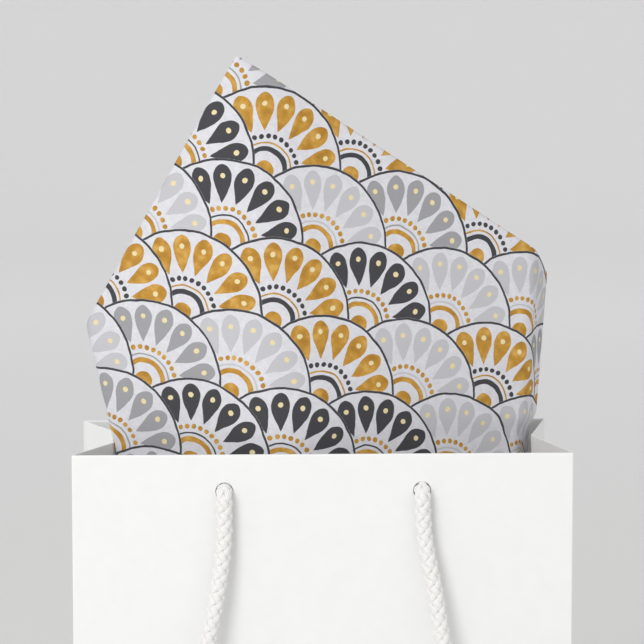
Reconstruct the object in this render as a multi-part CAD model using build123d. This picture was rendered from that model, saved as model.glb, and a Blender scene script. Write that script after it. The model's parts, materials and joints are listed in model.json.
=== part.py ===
"""Paper gift bag with rope handles and a folded sheet of printed tissue standing in it.

Frame: millimetres, +Z up, origin at the centre of the base on the surface that the bag stands on.
The front panel faces -Y. One STEP file per node goes into parts/.
"""
from build123d import *
import math
import os

# ---- Driving dimensions ----------------------------------------------------------------------

# Paper wrap: one creased sheet that makes the panels, gussets, hem and base flaps
BAG_WIDTH = 203.2
BAG_DEPTH = 101.6
BAG_HEIGHT = 254.0
PAPER_THICKNESS = 0.3
HEM_HEIGHT = 40.0  # how far the top edge is turned down inside
HEM_END_GAP = 1.0  # between the end of a panel's hem and the gusset
LEFT_GUSSET_FOLD = 22.0  # how far the left middle crease is drawn in at the mouth
RIGHT_GUSSET_FOLD = 11.0
SEAM_FLAP_WIDTH = 14.0
END_FLAP_LENGTH = 63.0  # front and back base flaps, which overlap under the middle
SIDE_FLAP_LENGTH = 50.0

# Boards
TOP_BOARD_WIDTH = 190.0
TOP_BOARD_HEIGHT = 34.0
TOP_BOARD_THICKNESS = 0.8
BASE_BOARD_THICKNESS = 1.0
BASE_BOARD_GAP = 1.0  # all round, to the walls

# Rope handles
ROPE_DIAMETER = 7.0
HOLE_CLEARANCE = 0.2  # rope to the edge of its hole
HOLE_SPACING = 80.0
HOLE_DROP = 15.0  # hole centre below the mouth
PANEL_CLEARANCE = 0.6  # hanging rope to the panel
ELBOW_CLEARANCE = 0.3  # swinging rope to the fixed end that it hangs from
KNOT_DIAMETER = 18.0
KNOT_LENGTH = 12.0
KNOT_ROUNDING = 5.0
TAIL_LENGTH = 21.0  # from the knot's centre down to the cut end

# Tissue: a rectangle standing on one corner, with a soft ridge down from its top corner and both
# side corners folded behind it
SHEET_WIDTH = 254.0
SHEET_LENGTH = 355.6
SHEET_THICKNESS = 0.3
SHEET_TILT = 30.9  # short edge from the vertical
PEAK_HEIGHT = 160.2  # top corner above the mouth
PEAK_OFFSET = 57.0  # top corner from the left fold, along the sheet
LEFT_FOLD_LEAN = 13.3  # the folds spread apart going up
RIGHT_FOLD_LEAN = 6.0
LEFT_FOLD_OFFSET = -18.0  # fold's centre from the middle of the bag's depth, at the mouth
RIGHT_FOLD_OFFSET = 11.0
LEFT_FOLD_RADIUS = 5.0
RIGHT_FOLD_RADIUS = 8.8
LEFT_FOLD_ANGLE = 176.0
RIGHT_FOLD_ANGLE = 178.0
LEFT_FOLD_GAP = 1.2  # fold to the gusset beside it
RIGHT_FOLD_GAP = 1.6
CREASES_PER_FOLD = 4
RIDGE_ANGLE = 38.0
RIDGE_WIDTH = 30.0  # width of paper that the ridge's turn is spread over
RIDGE_CREASES = 4  # an even number, with a facet in the middle of the ridge
FLAP_RIDGE_CREASES = 2  # where the ridge goes on through a back flap

# ---- Places that follow from them ------------------------------------------------------------

HALF_WIDTH = BAG_WIDTH / 2
HALF_DEPTH = BAG_DEPTH / 2
INNER_HALF_DEPTH = HALF_DEPTH - PAPER_THICKNESS
BOARD_FACE = INNER_HALF_DEPTH - TOP_BOARD_THICKNESS  # inner face of a top board
HEM_FACE = BOARD_FACE - PAPER_THICKNESS  # inner face of a panel's hem
HOLE_HEIGHT = BAG_HEIGHT - HOLE_DROP
ROPE_RADIUS = ROPE_DIAMETER / 2
HOLE_RADIUS = ROPE_RADIUS + HOLE_CLEARANCE
PIVOT_OUT = ROPE_RADIUS + PANEL_CLEARANCE  # swing axis in front of the panel
BASE_BOARD_BOTTOM = 3 * PAPER_THICKNESS  # on the three layers of base flaps
SIDES = {"left": -1, "right": 1}
ENDS = {"front": -1, "back": 1}
FOLD = {"left": LEFT_GUSSET_FOLD, "right": RIGHT_GUSSET_FOLD}


def block(x0, x1, y0, y1, z0, z1):
    """Box between two corners."""
    return Pos((x0 + x1) / 2, (y0 + y1) / 2, (z0 + z1) / 2) * Box(abs(x1 - x0), abs(y1 - y0), z1 - z0)


def plate(points, through):
    """Flat plate: a polygon in space, carried along the vector through."""
    return Solid.extrude(Face(Wire.make_polygon([Vector(*p) for p in points])), Vector(*through))


def between(a, b, z):
    """Point on the line from a to b at height z."""
    share = (z - a[2]) / (b[2] - a[2])
    return tuple(p + share * (q - p) for p, q in zip(a, b))


# ---- Paper wrap ------------------------------------------------------------------------------


def handle_holes(panel):
    """Cuts the two rope holes through a front or back layer."""
    for x in (-HOLE_SPACING / 2, HOLE_SPACING / 2):
        panel -= Pos(x, 0, HOLE_HEIGHT) * Rot(X=90) * Cylinder(HOLE_RADIUS, BAG_DEPTH * 2)
    return panel


def wide_panel(end):
    """Front or back panel, from base to mouth."""
    y = ENDS[end]
    return handle_holes(
        block(-HALF_WIDTH, HALF_WIDTH, y * HALF_DEPTH, y * INNER_HALF_DEPTH, 0, BAG_HEIGHT)
    )


def gusset_points(side, end):
    """Corner points of half a gusset: the panel's edge, and the middle crease drawn in at the mouth."""
    x, y = SIDES[side], ENDS[end]
    edge_foot = (x * HALF_WIDTH, y * INNER_HALF_DEPTH, 0)
    edge_top = (x * HALF_WIDTH, y * INNER_HALF_DEPTH, BAG_HEIGHT)
    crease_foot = (x * HALF_WIDTH, 0, HALF_DEPTH)
    crease_top = (x * (HALF_WIDTH - FOLD[side]), 0, BAG_HEIGHT)
    return edge_foot, edge_top, crease_foot, crease_top


def gusset_half(side, end):
    """Half a gusset: two flat facets, bent along the line from the base corner to the top of the crease."""
    edge_foot, edge_top, crease_foot, crease_top = gusset_points(side, end)
    inward = (-SIDES[side] * PAPER_THICKNESS, 0, 0)
    return [
        plate([edge_foot, edge_top, crease_top], inward),
        plate([edge_foot, crease_top, crease_foot], inward),
    ]


def gusset_foot(side):
    """Flat triangle at the foot of a gusset, under its middle crease."""
    front_foot, _, crease_foot, _ = gusset_points(side, "front")
    back_foot = gusset_points(side, "back")[0]
    return plate([front_foot, back_foot, crease_foot], (-SIDES[side] * PAPER_THICKNESS, 0, 0))


def gusset_x(side, y):
    """Inner face of a gusset at the mouth, as a distance from the middle of the bag."""
    return HALF_WIDTH - PAPER_THICKNESS - FOLD[side] * (1 - abs(y) / INNER_HALF_DEPTH)


def wide_hem(end):
    """Top edge of a front or back panel, turned in over its board."""
    y = ENDS[end]
    reach = HALF_WIDTH - PAPER_THICKNESS - HEM_END_GAP
    low, under = BAG_HEIGHT - HEM_HEIGHT, BAG_HEIGHT - PAPER_THICKNESS
    turned = block(-reach, reach, y * BOARD_FACE, y * HEM_FACE, low, BAG_HEIGHT)
    over = block(-reach, reach, y * INNER_HALF_DEPTH, y * BOARD_FACE, under, BAG_HEIGHT)
    return handle_holes(turned + over)


def gusset_hem(side):
    """Top edge of a gusset, turned in flat against it."""
    x = SIDES[side]
    inward = (-x * PAPER_THICKNESS, 0, 0)
    low = BAG_HEIGHT - HEM_HEIGHT
    pieces = []
    for end, y in ENDS.items():
        edge_foot, _, crease_foot, crease_top = gusset_points(side, end)
        start_top = (x * (gusset_x(side, HEM_FACE) + PAPER_THICKNESS), y * HEM_FACE, BAG_HEIGHT)
        start_low = (start_top[0], start_top[1], low)
        bend_low = between(edge_foot, crease_top, low)
        crease_low = between(crease_foot, crease_top, low)
        for outline in ([start_low, start_top, crease_top, bend_low], [bend_low, crease_top, crease_low]):
            pieces.append(plate(outline, inward).translate(Vector(*inward)))
    return pieces


def seam_flap():
    """Strip of the right gusset that is glued inside the back panel."""
    outer = gusset_x("right", INNER_HALF_DEPTH - PAPER_THICKNESS)
    return block(
        outer - SEAM_FLAP_WIDTH, outer, INNER_HALF_DEPTH - PAPER_THICKNESS, INNER_HALF_DEPTH,
        BASE_BOARD_BOTTOM, BAG_HEIGHT - HEM_HEIGHT,
    )


def end_flap(end):
    """Front or back base flap, narrowed at 45 degrees from its crease. The back one is outermost."""
    y = ENDS[end]
    bottom = 0 if end == "back" else PAPER_THICKNESS
    wide, narrow = HALF_WIDTH - PAPER_THICKNESS, HALF_WIDTH - PAPER_THICKNESS - END_FLAP_LENGTH
    crease, free = y * INNER_HALF_DEPTH, y * (INNER_HALF_DEPTH - END_FLAP_LENGTH)
    outline = [(-wide, crease), (wide, crease), (narrow, free), (-narrow, free)]
    return plate([(*point, bottom) for point in outline], (0, 0, PAPER_THICKNESS))


def side_flap(side):
    """Base flap below a gusset, folded in first."""
    x = SIDES[side]
    outer = HALF_WIDTH - PAPER_THICKNESS
    return block(
        x * outer, x * (outer - SIDE_FLAP_LENGTH), -INNER_HALF_DEPTH, INNER_HALF_DEPTH,
        2 * PAPER_THICKNESS, 3 * PAPER_THICKNESS,
    )


# ---- Boards ----------------------------------------------------------------------------------


def top_board(end):
    """Stiffening strip inside the hem, which carries the pull of the rope."""
    y = ENDS[end]
    top = BAG_HEIGHT - PAPER_THICKNESS
    return handle_holes(
        block(
            -TOP_BOARD_WIDTH / 2, TOP_BOARD_WIDTH / 2, y * INNER_HALF_DEPTH, y * BOARD_FACE,
            top - TOP_BOARD_HEIGHT, top,
        )
    )


def base_board():
    """Loose board that lies on the base flaps."""
    x = HALF_WIDTH - PAPER_THICKNESS - BASE_BOARD_GAP
    y = INNER_HALF_DEPTH - BASE_BOARD_GAP
    return block(-x, x, -y, y, BASE_BOARD_BOTTOM, BASE_BOARD_BOTTOM + BASE_BOARD_THICKNESS)


# ---- Rope handles ----------------------------------------------------------------------------
# The front rope, built in front of the panel. The back one is the same, turned half round.

# Route of the hanging loop: x, distance out from the panel, height above the holes.
# It starts under one hole's swing axis and ends under the other's.
LOOP_START = ROPE_RADIUS + ELBOW_CLEARANCE
LOOP_ROUTE = [
    (-HOLE_SPACING / 2, PIVOT_OUT, -LOOP_START),
    (-40.0, 4.8, -20.0),
    (-42.6, 7.5, -40.0),
    (-47.8, 11.5, -64.0),
    (-51.2, 15.5, -88.0),
    (-43.0, 19.0, -111.0),
    (-24.0, 21.5, -126.0),
    (0.5, 22.5, -131.0),
    (25.0, 21.5, -125.0),
    (43.5, 19.0, -109.0),
    (51.5, 15.0, -86.0),
    (48.2, 11.0, -62.0),
    (44.8, 7.5, -39.0),
    (40.8, 4.8, -20.0),
    (HOLE_SPACING / 2, PIVOT_OUT, -LOOP_START),
]
ARC_SHARE = 0.45  # of the shorter run, taken up by each arc


def arc_radii(points):
    """Radius at each corner of a route, as large as its two runs allow."""
    radii = []
    for before, here, after in zip(points, points[1:], points[2:]):
        turn = math.radians((here - before).get_angle(after - here))
        shorter = min((here - before).length, (after - here).length)
        radii.append(ARC_SHARE * shorter / math.tan(turn / 2))
    return radii


def rope_loop():
    """Loop that hangs outside the panel, from one swing point to the other."""
    points = [Vector(x, -HALF_DEPTH - out, HOLE_HEIGHT + up) for x, out, up in LOOP_ROUTE]
    radii = arc_radii(points)
    path = FilletPolyline(*points, radius=radii)
    loop = sweep(Plane(origin=path @ 0, z_dir=path % 0) * Circle(ROPE_RADIUS), path=path)
    expected = math.pi * ROPE_RADIUS**2 * path.length
    print(f"rope loop: length {path.length:.1f}, volume over section x length {loop.volume / expected:.4f}")
    print("rope loop radii:", [round(r, 1) for r in radii])
    return loop


def rope_ends():
    """The two straight ends, from the knots out through the holes to the swing axis, with round tips."""
    pieces = []
    for x in (-HOLE_SPACING / 2, HOLE_SPACING / 2):
        tip = -HALF_DEPTH - PIVOT_OUT
        length = -HEM_FACE - tip
        end = Pos(x, tip + length / 2, HOLE_HEIGHT) * Rot(X=90) * Cylinder(ROPE_RADIUS, length)
        pieces.append(end + Pos(x, tip, HOLE_HEIGHT) * Sphere(ROPE_RADIUS))
    return pieces


def rope_knots():
    """The two stopper knots behind the hem, each with its cut end hanging down."""
    pieces = []
    for x in (-HOLE_SPACING / 2, HOLE_SPACING / 2):
        y = -HEM_FACE + KNOT_LENGTH / 2
        knot = Cylinder(KNOT_DIAMETER / 2, KNOT_LENGTH)
        knot = fillet(knot.edges().filter_by(GeomType.CIRCLE), KNOT_ROUNDING)
        tail = Pos(x, y, HOLE_HEIGHT - TAIL_LENGTH / 2) * Cylinder(ROPE_RADIUS, TAIL_LENGTH)
        pieces.append(Pos(x, y, HOLE_HEIGHT) * Rot(X=90) * knot + tail)
    return pieces


# ---- Tissue sheet ----------------------------------------------------------------------------
# Built flat and upright in the plane of the ridge's middle facet, with x along the sheet from the
# left fold at the mouth and z up from the mouth. It is folded along creases that all point at one
# apex below the bag, and set in its place. A lean is an angle from the vertical at the apex,
# positive to the right.


def fold_centres():
    """Centres of the two folds at the mouth, seen from above, each beside its gusset."""
    left_x = -gusset_x("left", LEFT_FOLD_OFFSET) + LEFT_FOLD_GAP + LEFT_FOLD_RADIUS
    right_x = gusset_x("right", RIGHT_FOLD_OFFSET) - RIGHT_FOLD_GAP - RIGHT_FOLD_RADIUS
    return Vector(left_x, LEFT_FOLD_OFFSET), Vector(right_x, RIGHT_FOLD_OFFSET)


def fold_apex(width):
    """Point where the two leaning folds meet below the bag, in the flat sheet."""
    left, right = math.tan(math.radians(LEFT_FOLD_LEAN)), math.tan(math.radians(RIGHT_FOLD_LEAN))
    down = width / (left + right)
    return Vector(left * down, 0, -down)


def ridge_lean(apex):
    """Lean of the ridge, which runs through the sheet's top corner."""
    return math.degrees(math.atan2(PEAK_OFFSET - apex.X, PEAK_HEIGHT - apex.Z))


def ridge_offset(width):
    """Ridge from the left fold at the mouth, along the sheet."""
    apex = fold_apex(width)
    return apex.X - apex.Z * math.tan(math.radians(ridge_lean(apex)))


def heading(turn):
    """Direction seen from above that turns away from the ridge's middle facet."""
    return Vector(math.cos(math.radians(turn)), math.sin(math.radians(turn)))


def fold_centre(distance, radius, turn):
    """Fold's centre from the ridge, seen from above: over half the ridge, along the face, then behind it."""
    half_ridge = math.copysign(RIDGE_WIDTH / 2, distance)
    over = heading(turn / 2) * half_ridge + heading(turn) * (distance - half_ridge)
    return over + heading(turn + 90) * radius


def folded_centres(width):
    """Centres of both folds from the ridge, in the frame of the ridge's middle facet."""
    ridge = ridge_offset(width)
    left = fold_centre(LEFT_FOLD_RADIUS - ridge, LEFT_FOLD_RADIUS, -RIDGE_ANGLE / 2)
    right = fold_centre(width - RIGHT_FOLD_RADIUS - ridge, RIGHT_FOLD_RADIUS, RIDGE_ANGLE / 2)
    return left, right


def sheet_place():
    """Where the sheet's own frame goes, and the sheet's width between its folds at the mouth."""
    left_centre, right_centre = fold_centres()
    span = right_centre - left_centre
    width = span.length
    for _ in range(20):  # widened until the folded sheet reaches from gusset to gusset
        left, right = folded_centres(width)
        width += span.length - (right - left).length
    yaw = math.degrees(math.atan2(span.Y, span.X) - math.atan2(right.Y - left.Y, right.X - left.X))
    ridge = left_centre - left.rotate(Axis.Z, yaw)
    return Pos(ridge.X, ridge.Y, BAG_HEIGHT) * Rot(Z=yaw) * Pos(-ridge_offset(width), 0, 0), width


def shared_creases(start, turn, spread, count):
    """Creases that share one turn: lean and turn of each, evenly spaced over a spread of leans."""
    return [(start + (i + 0.5) * spread / count, turn / count) for i in range(count)]


def flap_ridge(to_ridge, radius, reach):
    """Leans over which the ridge goes on through a back flap: from the fold's end, and how many."""
    along = to_ridge - radius - RIDGE_WIDTH / 2
    inside = RIDGE_WIDTH - 2 * radius * math.radians(RIDGE_ANGLE)  # the flap lies inside the bend
    return math.degrees(along / reach), math.degrees(inside / reach)


def sheet_creases(apex, width):
    """All creases from left to right: lean and turn of each. The two folds come first, and then the
    ridge goes through the face and both back flaps."""
    reach = -apex.Z
    ridge_lies = ridge_offset(width)
    left_start = -LEFT_FOLD_LEAN + math.degrees(LEFT_FOLD_RADIUS / reach)
    right_start = RIGHT_FOLD_LEAN - math.degrees(RIGHT_FOLD_RADIUS / reach)
    left_end = left_start - LEFT_FOLD_ANGLE * LEFT_FOLD_RADIUS / reach
    right_end = right_start + RIGHT_FOLD_ANGLE * RIGHT_FOLD_RADIUS / reach
    ridge_spread = math.degrees(RIDGE_WIDTH / reach)
    left_along, left_spread = flap_ridge(ridge_lies, LEFT_FOLD_RADIUS, reach)
    right_along, right_spread = flap_ridge(width - ridge_lies, RIGHT_FOLD_RADIUS, reach)
    left_flap_start = left_end - left_along - left_spread
    return (
        shared_creases(left_flap_start, -RIDGE_ANGLE, left_spread, FLAP_RIDGE_CREASES)
        + shared_creases(left_end, LEFT_FOLD_ANGLE, left_start - left_end, CREASES_PER_FOLD)
        + shared_creases(ridge_lean(apex) - ridge_spread / 2, RIDGE_ANGLE, ridge_spread, RIDGE_CREASES)
        + shared_creases(right_start, RIGHT_FOLD_ANGLE, right_end - right_start, CREASES_PER_FOLD)
        + shared_creases(right_end + right_along, -RIDGE_ANGLE, right_spread, FLAP_RIDGE_CREASES)
    )


def ray(lean):
    """Upward direction in the sheet's plane that leans to the right by an angle."""
    return Vector(math.sin(math.radians(lean)), 0, math.cos(math.radians(lean)))


def sheet_corners():
    """Corners of the sheet before it is folded, from its top corner round by the left."""
    peak = Vector(PEAK_OFFSET, 0, PEAK_HEIGHT)
    down_left = -ray(SHEET_TILT) * SHEET_WIDTH
    down_right = ray(SHEET_TILT + 90) * SHEET_LENGTH
    return [peak, peak + down_left, peak + down_left + down_right, peak + down_right]


def sheet_facets():
    """The folded sheet as flat plates that meet at its creases."""
    place, width = sheet_place()
    apex = fold_apex(width)
    corners = sheet_corners()
    flat = plate([tuple(c) for c in corners], (0, -SHEET_THICKNESS, 0))
    leans = [math.degrees(math.atan2(c.X - apex.X, c.Z - apex.Z)) for c in corners]
    creases = [c for c in sheet_creases(apex, width) if min(leans) < c[0] < max(leans)]
    left_count = len([c for c in creases if c[0] < ridge_lean(apex)])
    bounds = [min(leans) - 1] + [lean for lean, _ in creases] + [max(leans) + 1]
    far = 2 * (SHEET_WIDTH + SHEET_LENGTH)
    facets = []
    for i, (lean_from, lean_to) in enumerate(zip(bounds, bounds[1:])):
        outline = [apex, apex + ray(lean_from) * far, apex + ray(lean_to) * far]
        wedge = plate([(p.X, SHEET_THICKNESS, p.Z) for p in outline], (0, -3 * SHEET_THICKNESS, 0))
        facet = flat & wedge
        for lean, turn in creases[i:left_count]:  # left of the middle facet
            facet = facet.rotate(Axis(apex, ray(lean)), -turn)
        for lean, turn in reversed(creases[left_count:i]):  # right of it
            facet = facet.rotate(Axis(apex, ray(lean)), turn)
        facets.append(place * facet)
    return facets


# ---- Nodes -----------------------------------------------------------------------------------


def turned_half_round(pieces):
    """The same pieces at the back of the bag."""
    return [piece.rotate(Axis.Z, 180) for piece in pieces]


nodes = {}
for end in ENDS:
    nodes[f"{end}_panel"] = [wide_panel(end)]
    nodes[f"{end}_hem"] = [wide_hem(end)]
    nodes[f"{end}_top_board"] = [top_board(end)]
    nodes[f"{end}_base_flap"] = [end_flap(end)]
for side in SIDES:
    for end in ENDS:
        nodes[f"{side}_gusset_{end}_half"] = gusset_half(side, end)
    nodes[f"{side}_gusset_foot"] = [gusset_foot(side)]
    nodes[f"{side}_hem"] = gusset_hem(side)
    nodes[f"{side}_base_flap"] = [side_flap(side)]
nodes["seam_flap"] = [seam_flap()]
nodes["base_board"] = [base_board()]
rope = {"loop": [rope_loop()], "ends": rope_ends(), "knots": rope_knots()}
for name, pieces in rope.items():
    nodes[f"front_rope_{name}"] = pieces
    nodes[f"back_rope_{name}"] = turned_half_round(pieces)
nodes["tissue_sheet"] = sheet_facets()

os.makedirs("parts", exist_ok=True)
for name, pieces in nodes.items():
    solids = [solid for piece in pieces for solid in piece.solids()]
    shape = solids[0] if len(solids) == 1 else Compound(children=solids)
    shape.label = name
    export_step(shape, f"parts/{name}.step")
print(len(nodes), "nodes")
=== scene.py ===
"""Looks of a paper gift bag: creased paper wrap, braided rope handles with stopper knots, and a folded
sheet of printed tissue. Metres, +Z up, origin at the centre of the base, front panel towards -Y.
"""
import json
import math

import bpy
import numpy as np
from mathutils import Matrix, Vector


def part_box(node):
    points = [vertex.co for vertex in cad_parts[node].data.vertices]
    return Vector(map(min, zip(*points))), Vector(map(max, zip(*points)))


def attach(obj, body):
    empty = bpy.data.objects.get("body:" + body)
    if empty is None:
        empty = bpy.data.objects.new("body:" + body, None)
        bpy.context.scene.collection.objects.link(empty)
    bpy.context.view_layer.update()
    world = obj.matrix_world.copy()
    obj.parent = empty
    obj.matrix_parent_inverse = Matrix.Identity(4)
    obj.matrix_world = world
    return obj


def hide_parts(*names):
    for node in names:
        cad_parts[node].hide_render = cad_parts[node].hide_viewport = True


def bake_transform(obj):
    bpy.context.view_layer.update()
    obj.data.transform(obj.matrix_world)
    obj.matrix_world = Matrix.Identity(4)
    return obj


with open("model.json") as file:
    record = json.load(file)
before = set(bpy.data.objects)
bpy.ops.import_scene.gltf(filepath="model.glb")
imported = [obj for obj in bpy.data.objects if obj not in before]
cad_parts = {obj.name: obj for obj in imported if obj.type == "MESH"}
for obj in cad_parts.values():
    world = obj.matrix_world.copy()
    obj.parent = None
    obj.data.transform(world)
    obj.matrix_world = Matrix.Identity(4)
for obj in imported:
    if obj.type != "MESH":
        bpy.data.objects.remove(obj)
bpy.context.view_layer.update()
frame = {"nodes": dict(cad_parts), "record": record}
MM = 0.001
MATH = "ShaderNodeMath"
MIX = "ShaderNodeMix"

# ---- Sizes -----------------------------------------------------------------------------------

# Read from the frame
panel_low, panel_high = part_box("front_panel")
hem_low, hem_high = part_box("front_hem")
HALF_WIDTH = panel_high[0]
HALF_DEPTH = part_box("back_panel")[1][1]
BAG_HEIGHT = panel_high[2]
PAPER = panel_high[1] - panel_low[1]
WRAP_THICKNESS = 0.9 * PAPER  # thinner than the solids, so that its layers keep apart
GUSSET_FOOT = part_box("left_gusset_foot")[1][2]  # where the middle crease of a gusset starts
HEM_LOW = hem_low[2]
HEM_INSET = hem_high[1] - panel_high[1]  # middle of the panel to middle of its hem
LEFT_FOLD = HALF_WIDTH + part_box("left_gusset_front_half")[1][0]  # drawn in at the mouth
RIGHT_FOLD = HALF_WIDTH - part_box("right_gusset_front_half")[0][0]
SWING_AXIS = {joint["name"]: Vector(joint["pos_m"]) for joint in frame["record"]["behaviour"]["joints"]}

# Holes
HOLE_DIAMETER = 7.25 * MM
HOLE_X = 40.0 * MM
HOLE_HEIGHT = SWING_AXIS["front_handle_swing"].z

# Rope
ROPE_DIAMETER = 7.0 * MM
BRAID_PITCH = 21.8 * MM  # length in which a strand goes once round
STRANDS_EACH_WAY = 4
STRAND_WIDTH = 2.95 * MM
STRAND_THICKNESS = 1.75 * MM
BRAID_WAVE = 0.45 * MM  # how far a strand rises and dips as it passes over and under
YARN_PITCH = 0.45 * MM
ROPE_STEP = 0.75 * MM  # between the rings of a strand
STRAND_SIDES = 10
CORE_SIDES = 8
CORE_STEPS = 6  # rope steps between the rings of the core

# Points that the front rope follows: x, out from the panel, up from the holes, in millimetres
HANDLE_ROUTE = [
    (-40.0, -1.4, 0.2),
    (-40.0, 4.0, 0.35),
    (-40.0, 4.1, -7.0),
    (-40.0, 4.8, -20.0),
    (-42.6, 7.5, -40.0),
    (-47.8, 11.5, -64.0),
    (-51.2, 15.5, -88.0),
    (-43.0, 19.0, -111.0),
    (-24.0, 21.5, -126.0),
    (0.5, 22.5, -131.0),
    (25.0, 21.5, -125.0),
    (43.5, 19.0, -109.0),
    (51.5, 15.0, -86.0),
    (48.2, 11.0, -62.0),
    (44.8, 7.5, -39.0),
    (40.8, 4.8, -20.0),
    (40.0, 4.1, -7.0),
    (40.0, 4.0, 0.35),
    (40.0, -1.4, 0.2),
]

# Stopper knots: places are across from the hole, in from the hem's inner face, and up from the hole
KNOT_SQUEEZE = 0.86  # diameter of the rope in a knot, as a share of its own
KNOT_SPAN = 2.02  # how far the knot's curve runs to each side of its middle, in its own measure
KNOT_POINTS = 16
KNOT_SCALE = np.array([2.5, 0.2, 1.75]) * MM
KNOT_MIDDLE = np.array([0.0, 7.5, 3.6]) * MM
KNOT_ENTRY = np.array([(0.0, -0.5, 0.0), (0.0, 2.0, 0.0)]) * MM
KNOT_TAIL = np.array([(5.0, 10.5, -8.0), (3.0, 9.0, -15.0), (2.5, 8.5, -21.0)]) * MM

# Paper wrap
GUSSET_HEM_INSET = 0.34 * MM  # middle of a gusset to middle of its hem
CREASE_ROUNDING = 0.6 * MM  # half width of a crease
SOFT_BEND = 9.0 * MM  # half width of the soft bend that runs slantwise up a gusset
# The rounding grows from a crease's to a soft bend's: how far from the crease, and over what length
CREASE_CLEAR, CREASE_FADE = 1.0 * MM, 14.0 * MM
ROUNDING_SAMPLES = 11  # of the plan, averaged at each column
PANEL_BOW = 1.6 * MM  # how far the wide panels belly out below the boards
BOW_POWER = 1.5  # more than 1 keeps the bow away from the base and the boards
BOW_MARGIN = 2.0 * MM  # from the sides of the bag to where the bow starts
WALL_MARGIN = 0.5 * MM  # points this near to the plane of a wide panel belong to it
FOLD_LINE_DEPTH, FOLD_LINE_WIDTH = 0.25 * MM, 1.2 * MM  # across the front, where the flat bag folds
SHARP_EDGE = 35.0  # degrees: edges that turn by more are not smoothed
HEM_TURN_STEPS = 8
HEM_TURN_CLEAR = 0.1 * MM  # from the row below up to where the turn over the top edge starts
FOOT_ROWS, WALL_ROWS, HEM_ROWS = 14, 33, 10
GUSSET_COLUMNS, PANEL_COLUMNS = 12, 47
EDGE_COLUMNS = np.array([0.0015, 0.003, 0.0055, 0.01, 0.02])  # from a crease, in panel widths
PLAN_SIDES = 12  # round the wrap, from the front panel on by the right
FRONT_SIDE, RIGHT_CREASE, BACK_SIDE, LEFT_CREASE = 0, 3, 6, 9
END_FLAP = 63.0 * MM
SIDE_FLAP = 50.0 * MM
FLAP_BEND, FLAP_START = 0.35 * MM, 2.0 * MM  # from the wall to a flap's first two rows
FLAP_ROWS = 8

# Tissue sheet, in millimetres and degrees
SHEET_WIDTH = 254.0
SHEET_LENGTH = 355.6
SHEET_THICKNESS = 0.15
SHEET_CELLS = (236, 168)  # about 1.5 mm each
SHEET_TILT = 30.9  # of the long edge, which runs down to the right from the top corner
PEAK_HEIGHT = 160.2  # from the mouth up to the top corner
PEAK_OFFSET = 56.9  # from the left fold at the mouth across to the top corner
FOLDED_WIDTH = 198.2  # between the two folds, at the mouth
LEFT_FOLD_LEAN, RIGHT_FOLD_LEAN = 13.3, 6.0  # from upright: the folds spread as they go up
LEFT_FOLD_RADIUS, LEFT_FOLD_ANGLE = 5.0, 176.0
# The right fold turns in two bends with a strip between them that stays flat: width of paper, turn
RIGHT_FOLD_BENDS = [(7.0, 45.0), (14.0, 0.0), (16.2, 133.0)]
RIGHT_FOLD_START = 15.0  # before the folded width's end
RIGHT_FLAP_START = 3.5  # the same, for the flap behind
RIGHT_FLAP_GAP = 24.5  # face to back flap
RIDGE_ANGLE, RIDGE_WIDTH = 43.0, 30.0
RIDGE_PLACE = Vector((-17.0, -39.0, 254.0))  # where it passes the mouth
RIDGE_YAW = 1.8  # how far the face is turned there from the plane of the front panel
LEAN_LIMIT, LEAN_STEP = 45.0, 0.05  # the fold is worked out for leans of the flat sheet up to the limit
# The right gusset presses the sheet in: how far, from which x, over what width and height
MOUTH_PINCH = 2.4
PINCH_START, PINCH_WIDTH, PINCH_HEIGHT = 45.0, 40.0, 8.0

# Print of the sheet, in millimetres
FAN_RADIUS = 34.0  # the fans stand in rows half a radius apart
LEAVES_PER_TURN = 18
BEADS_PER_TURN = 30
INK_WAVER = 1.6  # full range of the noise that shifts a printed line
GOLD_SHARE = 0.38  # of the fans
# Distances from a fan's centre and widths, as shares of its radius
LEAF_START, LEAF_END = 0.47, 0.93
LEAF_PUSH, LEAF_FULLNESS = 1.4, 0.55  # powers that shape a leaf
LEAF_HALF_WIDTH = 0.43  # as a share of the room that a leaf has
EYE_RING, EYE_RADIUS = 0.79, 0.032
BEAD_RING, BEAD_RADIUS = 0.405, 0.03
THIN_RING, THIN_WIDTH = 0.325, 0.02
BROAD_RING, BROAD_WIDTH = 0.25, 0.06
HEART_RADIUS = 0.11
RIM_RING, RIM_WIDTH = 0.985, 0.028

# Camera and stage, in metres, degrees and watts
CAMERA_PLACE = (-0.0425, -1.1658, 0.4255)
CAMERA_DIP, CAMERA_TURN = 6.03, 2.155  # below level, and to the right
CAMERA_LENS = 156.2  # millimetres
FLOOR_RADIUS, WALL_BEND, WALL_TOP = 4.2, 1.2, 3.0
STAGE_MIDDLE = 0.35  # radius of the disc under the bag
STAGE_SIDES, WALL_STEPS = 96, 12
# Soft boxes: name, place, width and power
LAMPS = [
    ("key_softbox", (-0.85, -1.65, 1.15), 0.8, 18.0),
    ("fill_softbox", (1.3, -1.3, 0.9), 1.2, 1.0),
]
LAMP_AIM = Vector((0, 0, 0.25))
ROOM_COLOUR, ROOM_STRENGTH = (0.98, 0.99, 1.0, 1.0), 0.76

# ---- Helpers ---------------------------------------------------------------------------------


def colour(code):
    """Linear RGBA of an sRGB hex value."""
    parts = [int(code[i : i + 2], 16) / 255 for i in (1, 3, 5)]
    return [p / 12.92 if p <= 0.04045 else ((p + 0.055) / 1.055) ** 2.4 for p in parts] + [1.0]


def new_material(name):
    """Node material. Returns it, its tree and its shader."""
    material = bpy.data.materials.new(name)
    material.use_nodes = True
    tree = material.node_tree
    return material, tree, tree.nodes["Principled BSDF"]


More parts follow.
